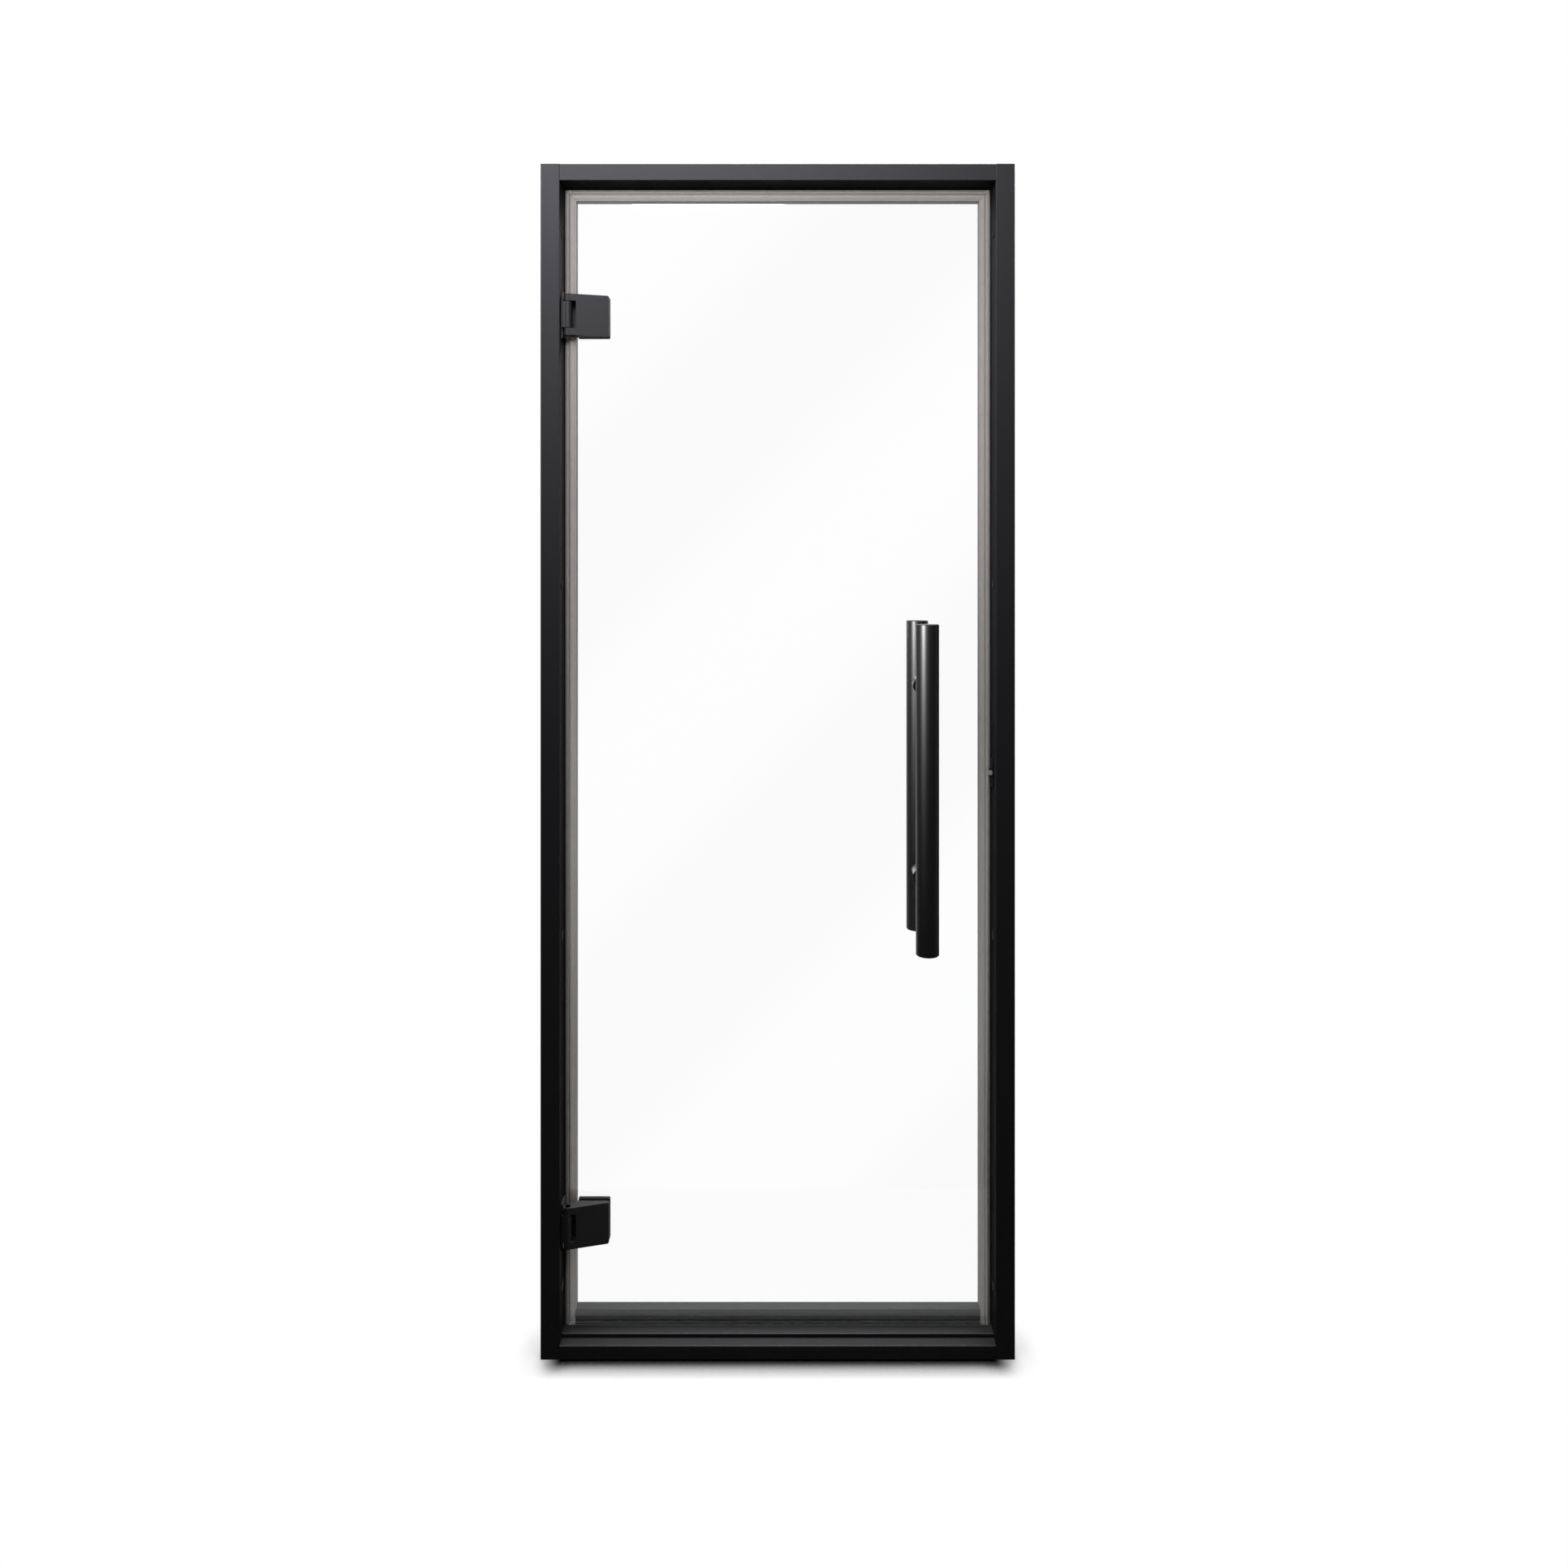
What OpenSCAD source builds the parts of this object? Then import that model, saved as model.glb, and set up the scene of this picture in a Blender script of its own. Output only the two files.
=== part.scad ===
// Glass door with its frame, as fitted to a sauna or steam room. A clear toughened pane swings on two
// clamp hinges in a black aluminium frame and closes on a sealed stop. A pull bar stands on each face.
// X runs across the door from the hinges to the latch, Y from the outside to the inside, Z up.
// The origin is on the floor, in the middle of the sill.

/* [Frame] */
// Width over the jambs
frame_w = 790; // [690:1:990]
// Height over the sill and head
frame_h = 1990; // [1790:1:2190]
// Depth from the outside face to the inside face
frame_d = 62; // [58:1:90]
// Width of a jamb's outside face
jamb_w = 32; // [30:1:45]
// Height of the head's outside face
head_h = 28; // [26:1:45]
// Lap of the stop behind the glass, from the reveal
stop_lap = 19; // [18:0.5:26]
// Wall of the extruded profiles
wall = 2; // [1.5:0.1:3]
// Rounding of the profiles' outside edges
edge_r = 1.5; // [0.5:0.1:2]

/* [Sill] */
// Height of the front lip
lip_h = 23; // [20:1:30]
// Depth of the front lip
lip_d = 19; // [14:1:24]
// Step up from the lip to the platform under the glass
step_h = 7; // [4:0.5:12]
// Height of the upstand behind the glass, above the floor
upstand_h = 57; // [52:1:80]

/* [Seals] */
// Width of a seal's base
seal_w = 17; // [14:0.5:17.5]
// Thickness of a seal's base
seal_base = 1; // [0.8:0.1:1.5]
// Wall of a seal's hollow bulbs
bulb_wall = 0.8; // [0.6:0.1:1]
// Width of the groove that holds a seal
groove_w = 3; // [2.5:0.1:4]
// Air between a bulb and the glass
seal_air = 0.3; // [0.2:0.1:0.8]

/* [Glass] */
// Thickness of the toughened glass
glass_t = 8; // [6:1:10]
// Depth of the glass behind the frame's outside face
glass_setback = 32; // [30:1:36]
// Gap between the glass and the stop
seal_gap = 4; // [3.5:0.5:6]
// Gap between glass and reveal on the hinge side
hinge_edge_gap = 8.5; // [7:0.5:10]
// Gap between glass and reveal on the latch side
latch_edge_gap = 6; // [5:0.5:8]
// Gap between glass and head
head_edge_gap = 5; // [3:0.5:8]
// Gap between glass and sill platform
sill_edge_gap = 5; // [3:0.5:9]
// Radius of the pane's corners
pane_r = 3; // [2:0.5:8]
// Width of the flat ground along the pane's edges
arris = 0.8; // [0.4:0.1:1.5]

/* [Hinges] */
// Height of the lower hinge's middle above the floor
lower_hinge_rise = 212; // [180:1:300]
// Drop of the upper hinge's middle below the frame's top
upper_hinge_drop = 248; // [180:1:400]
// Height of a hinge's clamp
hinge_h = 69; // [60:1:80]
// Reach of a clamp from the pin to its free end
hinge_reach = 67; // [62:1:80]
// Thickness of the front clamp at its free end
clamp_tip_t = 6; // [5:0.5:8]
// Thickness of the web behind the knuckle
clamp_web_t = 4; // [3:0.5:5]
// Rounding of a clamp's free corners
clamp_r = 2.5; // [1:0.5:8]
// Thickness of the rear clamp
rear_clamp_t = 6; // [5:0.5:8]
// Thickness of the pads against the glass
pad_t = 1; // [0.5:0.1:2]
// Distance of the pin in front of the glass
pin_forward = 17; // [16:0.5:19]
// Diameter of the pin
pin_d = 8; // [6:0.5:8.5]
// Diameter of the knuckle and of the ears
knuckle_d = 14; // [13:0.5:16]
// Height of an ear
ear_h = 11.5; // [8:0.5:13]
// Distance from the pin to the plate beside the slot
slot_reach = 14; // [12.5:0.5:17]
// Wall of a bush
bush_wall = 1; // [0.8:0.1:1.2]
// Thickness of a bush's flange
bush_flange = 1; // [0.8:0.1:1.5]
// Height of the bracket plate
bracket_h = 79; // [74:1:90]
// Thickness of the bracket plate
bracket_t = 3; // [2.5:0.5:4]
// Diameter of the clamp and bracket screws
hinge_screw_d = 5; // [4:0.5:6]
// Hole in the glass for a clamp screw
clamp_hole_d = 12; // [10:0.5:14]

/* [Handle] */
// Diameter of a pull bar
bar_d = 38; // [30:1:42]
// Length of a pull bar over its caps
bar_l = 540; // [440:1:800]
// Wall of a pull bar
bar_wall = 2.5; // [2:0.1:4]
// Distance from the glass to a bar's centre line
bar_reach = 62; // [50:1:80]
// Height of the bars' middle above the floor
handle_z = 955; // [900:1:1100]
// Distance of the bars from the glass's latch edge
handle_inset = 112; // [70:1:160]
// Distance between the two fixings of a bar
fixing_pitch = 325; // [250:1:400]
// Diameter of a standoff
standoff_d = 24; // [16:0.5:28]
// Diameter of a through stud
stud_d = 8; // [6:0.5:10]
// Hole in the glass for a stud's sleeve
stud_hole_d = 14; // [12:0.5:18]
// Diameter of the washers against the glass
washer_d = 30; // [22:0.5:36]
// Thickness of the washers
washer_t = 1.5; // [1:0.1:3]
// Thickness of an end cap's disc
cap_t = 2; // [1.5:0.1:4]

/* [Catch] */
// Height of the catch's middle above the floor
catch_z = 972; // [880:1:1100]
// Diameter of the roller
roller_d = 10; // [9:0.5:12]
// Height of the roller
roller_h = 8; // [6:0.5:10]
// Lap of the roller in front of the glass edge
roller_lap = 2; // [1.5:0.1:3]
// Travel of the plunger
catch_travel = 4; // [3.5:0.1:5]
// Thickness of the face plate
plate_t = 1.5; // [1:0.1:2]
// Height of the face plate
plate_h = 50; // [48:1:60]
// Width of the face plate
plate_w = 20; // [18:0.5:24]

/* [Wall fixings] */
// Diameter of the fixing holes in the jambs' outside walls
fixing_d = 7; // [5:0.5:9]
// Diameter of the access holes in the reveals
access_d = 14; // [12:0.5:16]
// Depth of the fixings behind the outside face
fixing_depth = 20; // [16:1:22]
// Distance of the outermost fixings from the jamb's ends
fixing_end = 110; // [90:1:140]

/* [Hidden] */
$fn = 64;
// Amount by which a cut runs past the face that it opens
cut = 1;

// Depth planes, from the outside to the inside
front_y = -frame_d / 2;
back_y = frame_d / 2;
glass_front = front_y + glass_setback;
glass_back = glass_front + glass_t;
stop_y = glass_back + seal_gap;
stop_d = back_y - stop_y;

// Planes across the door and up it
outer_x = frame_w / 2;
reveal_x = outer_x - jamb_w;
stop_x = reveal_x - stop_lap;
head_z = frame_h - head_h;
head_stop_z = head_z - stop_lap;
platform_z = lip_h + step_h;

// The pane
glass_left = -reveal_x + hinge_edge_gap;
glass_right = reveal_x - latch_edge_gap;
glass_bottom = platform_z + sill_edge_gap;
glass_top = head_z - head_edge_gap;

// Seals: two bulbs on a base with a barbed stem
seal_inset = (stop_lap - seal_w) / 2;
seal_rise = seal_gap - seal_base - seal_air;
bulb_w = seal_w / 2;
bulb_r = bulb_w * bulb_w / 8 / seal_rise + seal_rise / 2;
stem_slack = 0.2;
barb_over = 1.2;
barb_h = 1.5;
seal_end_gap = 0.3;
seal_lip_gap = 2;

// Screw ports in the rails, and the screws through the jambs
port_d = 8;
port_hole_d = 4.2;
port_web = 2.4;
corner_screw_l = 30;
corner_head_d = 9;
corner_head_h = 3;
corner_clear_d = 5;
corner_access_d = 11;
head_port_inset = 14;
sill_port_inset = 15;
head_ports = [for (y = [front_y + head_port_inset, back_y - head_port_inset]) [y, head_z + head_h / 2]];
sill_ports = [[front_y + (lip_d + wall) / 2, lip_h / 2], [back_y - sill_port_inset, platform_z / 2]];

// Wall fixings
fixing_y = front_y + fixing_depth;
fixing_count = 4;
fixing_pace = (frame_h - 2 * fixing_end) / (fixing_count - 1);
fixing_heights = [for (i = [0 : fixing_count - 1]) fixing_end + i * fixing_pace];
cap_rim = 1.5;
cap_disc_t = 1.2;
cap_plug_h = 5;
end_cap_t = 3;

// Hinges, measured from the pin
ear_clear = 1;
// Depth by which the sloping faces start inside the ear's round
touch_sink = 0.2;
run_clear = 0.3;
pin_fit = 0.05;
knuckle_r = knuckle_d / 2;
pin_x = -reveal_x + bracket_t + ear_clear + knuckle_r;
pin_y = glass_front - pin_forward;
lower_hinge_z = lower_hinge_rise;
upper_hinge_z = frame_h - upper_hinge_drop;
clamp_back = pin_forward - pad_t;
pane_edge = glass_left - pin_x;
rear_clear = 6;
rear_left = -stop_x + rear_clear - pin_x;
rear_face = pin_forward + glass_t + pad_t;
pocket_h = hinge_h - 2 * ear_h;
knuckle_h = pocket_h - 2 * (bush_flange + run_clear);
flange_d = knuckle_d - 1;
bracket_reveal = -reveal_x - pin_x;
bracket_front = -3;
bracket_back = pin_forward + glass_t - 1;
screw_head_d = 2 * hinge_screw_d;
bracket_screw_side = 6;
bracket_screw_end = 8;
bracket_screw_y = [bracket_front + bracket_screw_side, bracket_back - bracket_screw_side];
bracket_screw_z = bracket_h / 2 - bracket_screw_end;
bracket_screw_l = 12;
backing_t = 3;
clamp_screw_x = (slot_reach + hinge_reach) / 2;
clamp_screw_z = hinge_h / 4;
clamp_bite = 8;

// Handle
handle_x = glass_right - handle_inset;
glass_mid = (glass_front + glass_back) / 2;
bar_offset = glass_t / 2 + bar_reach;
bar_r = bar_d / 2;
bar_bore_r = bar_r - bar_wall;
cap_plug_l = 12;
stud_past_wall = 5;
stud_slack = 0.2;

// Catch, measured from the reveal beside the roller
roller_r = roller_d / 2;
roller_air = 0.3;
roller_x = glass_right - roller_lap + roller_r - reveal_x;
corner_dx = roller_x + reveal_x - glass_right;
catch_y = glass_front - sqrt(pow(roller_r + roller_air, 2) - pow(corner_dx, 2));
slide_clear = 0.3;
fork_t = 2;
fork_w = roller_d;
fork_nose_d = roller_d - 2;
fork_h = roller_h + 2 * (fork_t + slide_clear);
housing_wall = 2;
collar_over = 2;
collar_t = 3;
collar_x = housing_wall + slide_clear;
plunger_back = collar_x + collar_t + 3;
spring_l = 14;
housing_l = plunger_back + spring_l + housing_wall;
housing_w = fork_w + 2 * (slide_clear + housing_wall);
housing_h = fork_h + 2 * (collar_over + slide_clear + housing_wall);
roller_pin_d = 3;
roller_pin_fit = 0.05;
spring_d = 6.5;
spring_wire = 0.9;
spring_turns = 6;
peg_d = 4;
peg_l = 3;
plate_screw_d = 3.5;
plate_screw_head_d = 6;
plate_screw_l = 10;
plate_screw_z = plate_h / 2 - 5;

black_metal = [0.11, 0.11, 0.12];
light_seal = [0.62, 0.61, 0.6];
dark_rubber = [0.1, 0.1, 0.1];
steel = [0.6, 0.61, 0.63];
nylon = [0.85, 0.84, 0.8];

// A rectangle with round corners, from its lower left corner
module rounded_rect(w, h, r) {
    translate([r, 0]) square([w - 2 * r, h]);
    translate([0, r]) square([w, h - 2 * r]);
    for (x = [r, w - r], y = [r, h - r]) translate([x, y]) circle(r);
}

// Stands a profile drawn in Y and Z along X, between two ends
module along_x(x0, x1) {
    translate([x0, 0, 0]) rotate([90, 0, 90]) linear_extrude(x1 - x0) children();
}

// Stands an outline drawn in X and Z along Y, between two depths
module along_y(y0, y1) {
    translate([0, y1, 0]) rotate([90, 0, 0]) linear_extrude(y1 - y0) children();
}

// A round hole or rod along X, between two ends
module rod_x(d, x0, x1) {
    translate([x0, 0, 0]) rotate([0, 90, 0]) cylinder(d = d, h = x1 - x0);
}

// A round hole or rod along Y, between two depths
module rod_y(d, y0, y1) {
    translate([0, y0, 0]) rotate([-90, 0, 0]) cylinder(d = d, h = y1 - y0);
}

// A countersunk screw along +X, with its head's face at the origin
module countersunk_x(d, head_d, length) {
    rotate([0, 90, 0]) {
        cylinder(d1 = head_d, d2 = d, h = (head_d - d) / 2);
        cylinder(d = d, h = length);
    }
}

// Section of a jamb, across from its outside edge: box, stop, chambers and seal groove
module jamb_section() {
    difference() {
        union() {
            translate([0, front_y]) rounded_rect(jamb_w, frame_d, edge_r);
            translate([jamb_w - 2 * wall, stop_y]) rounded_rect(stop_lap + 2 * wall, stop_d, edge_r);
        }
        translate([wall, front_y + wall]) square([jamb_w - 2 * wall, frame_d - 2 * wall]);
        translate([jamb_w, stop_y + wall]) square([stop_lap - wall, stop_d - 2 * wall]);
        translate([jamb_w + (stop_lap - groove_w) / 2, stop_y - cut]) square([groove_w, wall + 2 * cut]);
    }
}

// A jamb with its outside edge at x = 0: the stop is cut away where the head and sill pass
module jamb_blank() {
    difference() {
        linear_extrude(frame_h) jamb_section();
        for (z = [-cut, head_z]) {
            translate([jamb_w, stop_y - cut, z])
                cube([stop_lap + cut, stop_d + 2 * cut, z < 0 ? platform_z + cut : head_h + cut]);
        }
        for (p = concat(head_ports, sill_ports)) translate([0, p[0], p[1]]) {
            rod_x(corner_access_d, -cut, wall + cut);
            rod_x(corner_clear_d, jamb_w - wall - cut, jamb_w + cut);
        }
        for (z = fixing_heights) translate([0, fixing_y, z]) {
            rod_x(fixing_d, -cut, wall + cut);
            rod_x(access_d, jamb_w - wall - cut, jamb_w + cut);
        }
    }
}

module hinge_jamb() {
    color(black_metal) difference() {
        translate([-outer_x, 0, 0]) jamb_blank();
        for (hinge_z = [lower_hinge_z, upper_hinge_z]) translate([pin_x, pin_y, hinge_z])
            for (y = bracket_screw_y, side = [-1, 1]) translate([bracket_reveal, y, side * bracket_screw_z])
                rod_x(hinge_screw_d, -wall - cut, cut);
    }
}

module latch_jamb() {
    color(black_metal) difference() {
        translate([outer_x, 0, 0]) mirror([1, 0, 0]) jamb_blank();
        translate([reveal_x, catch_y, catch_z]) {
            translate([-cut, -housing_w / 2 - slide_clear, -housing_h / 2 - slide_clear])
                cube([wall + 2 * cut, housing_w + 2 * slide_clear, housing_h + 2 * slide_clear]);
            for (side = [-1, 1]) translate([0, 0, side * plate_screw_z])
                rod_x(plate_screw_d, -cut, wall + cut);
        }
    }
}

// A screw port hanging from the wall above it, inside a rail's chamber
module screw_port(p, wall_z) {
    difference() {
        union() {
            translate(p) circle(d = port_d);
            translate([p[0] - port_web / 2, p[1]]) square([port_web, wall_z - p[1]]);
        }
        translate(p) circle(d = port_hole_d);
    }
}

// Section of the head in Y and Z: the jamb's section turned on its side, with two screw ports
module head_section() {
    difference() {
        union() {
            translate([front_y, head_z]) rounded_rect(frame_d, head_h, edge_r);
            translate([stop_y, head_stop_z]) rounded_rect(stop_d, stop_lap + 2 * wall, edge_r);
        }
        difference() {
            translate([front_y + wall, head_z + wall]) square([frame_d - 2 * wall, head_h - 2 * wall]);
            for (p = head_ports) screw_port(p, frame_h - wall / 2);
        }
        for (p = head_ports) translate(p) circle(d = port_hole_d);
        translate([stop_y + wall, head_stop_z + wall]) square([stop_d - 2 * wall, stop_lap - wall]);
        translate([stop_y - cut, head_z - (stop_lap + groove_w) / 2]) square([wall + 2 * cut, groove_w]);
    }
}

module head_rail() {
    color(black_metal) difference() {
        along_x(-reveal_x, reveal_x) head_section();
        for (x = [-reveal_x - cut, stop_x]) translate([x, stop_y - cut, head_stop_z - cut])
            cube([stop_lap + cut, stop_d + 2 * cut, stop_lap + cut]);
    }
}

// Section of the sill in Y and Z: front lip, platform under the glass, and upstand behind it
module sill_section() {
    upstand_groove_z = upstand_h - (stop_lap + groove_w) / 2;
    difference() {
        union() {
            translate([front_y, 0]) rounded_rect(frame_d, lip_h, edge_r);
            translate([front_y + lip_d, 0]) rounded_rect(frame_d - lip_d, platform_z, edge_r);
            translate([stop_y, 0]) rounded_rect(stop_d, upstand_h, edge_r);
        }
        difference() {
            translate([front_y + wall, wall]) square([lip_d - wall, lip_h - 2 * wall]);
            screw_port(sill_ports[0], lip_h - wall / 2);
        }
        difference() {
            translate([front_y + lip_d + wall, wall])
                square([frame_d - lip_d - 2 * wall, platform_z - 2 * wall]);
            screw_port(sill_ports[1], platform_z - wall / 2);
        }
        for (p = sill_ports) translate(p) circle(d = port_hole_d);
        translate([stop_y + wall, platform_z])
            square([stop_d - 2 * wall, upstand_h - platform_z - wall]);
        translate([stop_y - cut, upstand_groove_z]) square([wall + 2 * cut, groove_w]);
    }
}

module sill_rail() {
    color(black_metal) difference() {
        along_x(-reveal_x, reveal_x) sill_section();
        for (x = [-reveal_x - cut, stop_x]) translate([x, stop_y - cut, platform_z])
            cube([stop_lap + cut, stop_d + 2 * cut, upstand_h]);
    }
}

// Screws from inside each jamb into the rails' ports
module corner_screws() {
    color(steel) for (flip = [0, 1]) mirror([flip, 0, 0])
        for (p = concat(head_ports, sill_ports)) translate([-reveal_x - wall, p[0], p[1]]) {
            rod_x(corner_head_d, -corner_head_h, 0);
            rod_x(port_hole_d, -corner_head_h, corner_screw_l);
        }
}

// Plastic plugs, flush in both ends of each hollow jamb
module jamb_end_caps() {
    color(black_metal) for (flip = [0, 1], z = [0, frame_h - end_cap_t]) mirror([flip, 0, 0])
        translate([-outer_x + wall, front_y + wall, z])
            cube([jamb_w - 2 * wall, frame_d - 2 * wall, end_cap_t]);
}

// Plastic caps that close the access holes in both reveals
module fixing_caps() {
    color(black_metal) for (flip = [0, 1]) mirror([flip, 0, 0])
        for (z = fixing_heights) translate([-reveal_x, fixing_y, z]) difference() {
            union() {
                rod_x(access_d + 2 * cap_rim, 0, cap_disc_t);
                rod_x(access_d, -cap_plug_h, cap_disc_t);
            }
            rod_x(access_d - 2 * cap_rim, -cap_plug_h - cut, 0);
        }
}

// Section of a seal: base on y = 0, two hollow bulbs towards -Y, and a barbed stem in the groove
module seal_section() {
    difference() {
        translate([0, -seal_base]) square([seal_w, seal_base]);
        for (i = [0, 1]) translate([(i + 0.5) * bulb_w, -seal_base - seal_rise + bulb_r])
            circle(bulb_r - bulb_wall);
    }
    for (i = [0, 1]) translate([(i + 0.5) * bulb_w, -seal_base - seal_rise + bulb_r]) intersection() {
        difference() {
            circle(bulb_r);
            circle(bulb_r - bulb_wall);
        }
        translate([-bulb_w / 2, -bulb_r]) square([bulb_w, seal_rise + seal_base / 2]);
    }
    translate([(seal_w - groove_w) / 2 + stem_slack, -seal_base / 2])
        square([groove_w - 2 * stem_slack, seal_base / 2 + wall + barb_h]);
    translate([seal_w / 2, wall + stem_slack]) polygon([
        [-groove_w / 2 - barb_over, 0], [groove_w / 2 + barb_over, 0],
        [groove_w / 2 - stem_slack, barb_h], [-groove_w / 2 + stem_slack, barb_h]
    ]);
}

// A seal that also wraps the stop's inner edge with a flat lip
module wrapped_seal_section() {
    edge = stop_lap - seal_inset;
    seal_section();
    translate([seal_w - seal_base, -seal_base]) square([edge + 2 * seal_base - seal_w, seal_base]);
    translate([edge, -seal_base]) square([seal_base, stop_d - seal_lip_gap + seal_base]);
}

// A seal on a jamb's stop, drawn for the hinge side and mitred under the head's seal
module side_seal() {
    top_z = head_z - seal_inset;
    difference() {
        translate([-reveal_x + seal_inset, stop_y, platform_z + seal_end_gap])
            linear_extrude(top_z - platform_z - seal_end_gap) wrapped_seal_section();
        translate([-stop_x - seal_end_gap, 0, 0]) cube([seal_w, frame_d, upstand_h + seal_end_gap]);
        translate([-reveal_x + seal_inset - seal_end_gap, 0, top_z]) rotate([0, 45, 0])
            translate([-seal_w, -frame_d, 0]) cube([4 * seal_w, 2 * frame_d, 2 * seal_w]);
    }
}

module hinge_side_seal() {
    color(light_seal) side_seal();
}

module latch_side_seal() {
    color(light_seal) mirror([1, 0, 0]) side_seal();
}

module head_seal() {
    top_z = head_z - seal_inset;
    side_x = reveal_x - seal_inset;
    color(light_seal) difference() {
        translate([-side_x, stop_y, top_z]) rotate([0, 90, 0])
            linear_extrude(2 * side_x) wrapped_seal_section();
        for (flip = [0, 1]) mirror([flip, 0, 0]) translate([-side_x, 0, top_z]) rotate([0, 45, 0])
            translate([-seal_w, -frame_d, -2 * seal_w]) cube([4 * seal_w, 2 * frame_d, 2 * seal_w]);
        for (x = [-side_x - cut, stop_x - seal_end_gap]) translate([x, stop_y, top_z - seal_w - cut])
            cube([side_x - stop_x + seal_end_gap + cut, stop_d, seal_w + 2 * cut]);
    }
}

module sill_seal() {
    color(dark_rubber)
        translate([-stop_x + seal_end_gap, stop_y, upstand_h - seal_inset]) rotate([0, 90, 0])
            linear_extrude(2 * (stop_x - seal_end_gap)) seal_section();
}

// Point where a line from p touches the ear, on one side or the other
function touch_point(p, side) =
    let (a = atan2(p[1], p[0]) + side * acos(knuckle_r / norm(p))) (knuckle_r - touch_sink) * [cos(a), sin(a)];

// Outline of a clamp's face in X and Z, round at its free end
module clamp_outline(x0, h) {
    translate([x0, -h / 2]) square([hinge_reach - clamp_r - x0, h]);
    translate([x0, -h / 2 + clamp_r]) square([hinge_reach - x0, h - 2 * clamp_r]);
    for (side = [-1, 1]) translate([hinge_reach - clamp_r, side * (h / 2 - clamp_r)]) circle(clamp_r);
}

// Section of the front clamp seen from above: ear, sloping face and flat back
module clamp_section() {
    tip = [hinge_reach, clamp_back - clamp_tip_t];
    heel = [slot_reach, clamp_back];
    circle(knuckle_r);
    polygon([touch_point(tip, -1), tip, [hinge_reach, clamp_back], heel, touch_point(heel, 1)]);
}

// Fixed half of a hinge: plate on the reveal and a knuckle with the pin's bore
module hinge_bracket() {
    color(black_metal) difference() {
        union() {
            translate([bracket_reveal, bracket_front, -bracket_h / 2])
                cube([bracket_t, bracket_back - bracket_front, bracket_h]);
            translate([bracket_reveal + bracket_t / 2, -knuckle_r + ear_clear, -knuckle_h / 2])
                cube([-bracket_reveal - bracket_t / 2, knuckle_d - 2 * ear_clear, knuckle_h]);
            cylinder(d = knuckle_d, h = knuckle_h, center = true);
        }
        cylinder(d = pin_d, h = knuckle_h + 2 * cut, center = true);
        for (y = bracket_screw_y, side = [-1, 1])
            translate([bracket_reveal + bracket_t, y, side * bracket_screw_z]) mirror([1, 0, 0])
                countersunk_x(hinge_screw_d, screw_head_d, bracket_screw_l);
    }
}

module bracket_screws() {
    color(steel) for (y = bracket_screw_y, side = [-1, 1])
        translate([bracket_reveal + bracket_t, y, side * bracket_screw_z]) mirror([1, 0, 0])
            countersunk_x(hinge_screw_d, screw_head_d, bracket_screw_l);
}

// Tapped steel plate inside the hollow jamb, behind the bracket
module backing_plate() {
    color(steel) difference() {
        translate([bracket_reveal - wall - backing_t, bracket_front, -bracket_h / 2])
            cube([backing_t, bracket_back - bracket_front, bracket_h]);
        for (y = bracket_screw_y, side = [-1, 1]) translate([bracket_reveal, y, side * bracket_screw_z])
            rod_x(hinge_screw_d, -wall - backing_t - cut, 0);
    }
}

module hinge_pin() {
    color(steel) cylinder(d = pin_d, h = hinge_h, center = true);
}

// Flanged bushes pressed into the two ears
module hinge_bushes() {
    color(nylon) for (flip = [0, 1]) mirror([0, 0, flip]) difference() {
        union() {
            translate([0, 0, pocket_h / 2]) cylinder(d = pin_d + 2 * (pin_fit + bush_wall), h = ear_h);
            translate([0, 0, pocket_h / 2 - bush_flange]) cylinder(d = flange_d, h = bush_flange);
        }
        cylinder(d = pin_d + 2 * pin_fit, h = hinge_h);
    }
}

// Wedge-shaped outside clamp with an ear above and below the knuckle
module front_clamp() {
    color(black_metal) difference() {
        intersection() {
            union() {
                difference() {
                    translate([0, 0, -hinge_h / 2]) linear_extrude(hinge_h) clamp_section();
                    translate([-hinge_reach, -hinge_reach, -pocket_h / 2])
                        cube([hinge_reach + slot_reach, hinge_reach + clamp_back + cut, pocket_h]);
                }
                translate([pane_edge, clamp_back - clamp_web_t, -pocket_h / 2])
                    cube([slot_reach - pane_edge + cut, clamp_web_t, pocket_h]);
            }
            along_y(-hinge_reach, hinge_reach) clamp_outline(-hinge_reach, hinge_h);
        }
        cylinder(d = pin_d + 2 * (pin_fit + bush_wall), h = hinge_h + 2 * cut, center = true);
        for (side = [-1, 1]) translate([clamp_screw_x, 0, side * clamp_screw_z])
            rod_y(hinge_screw_d, clamp_back - clamp_bite, clamp_back + cut);
    }
}

// A clamp screw along -Y, with its head flush in the rear clamp
module clamp_screw() {
    translate([0, rear_face + rear_clamp_t, 0]) rotate([0, 0, -90])
        countersunk_x(hinge_screw_d, screw_head_d, rear_face + rear_clamp_t - clamp_back + clamp_bite);
}

module clamp_screws() {
    color(steel) for (side = [-1, 1]) translate([clamp_screw_x, 0, side * clamp_screw_z]) clamp_screw();
}

module rear_clamp() {
    color(black_metal) difference() {
        along_y(rear_face, rear_face + rear_clamp_t) clamp_outline(rear_left, hinge_h);
        for (side = [-1, 1]) translate([clamp_screw_x, 0, side * clamp_screw_z]) clamp_screw();
    }
}

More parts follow.
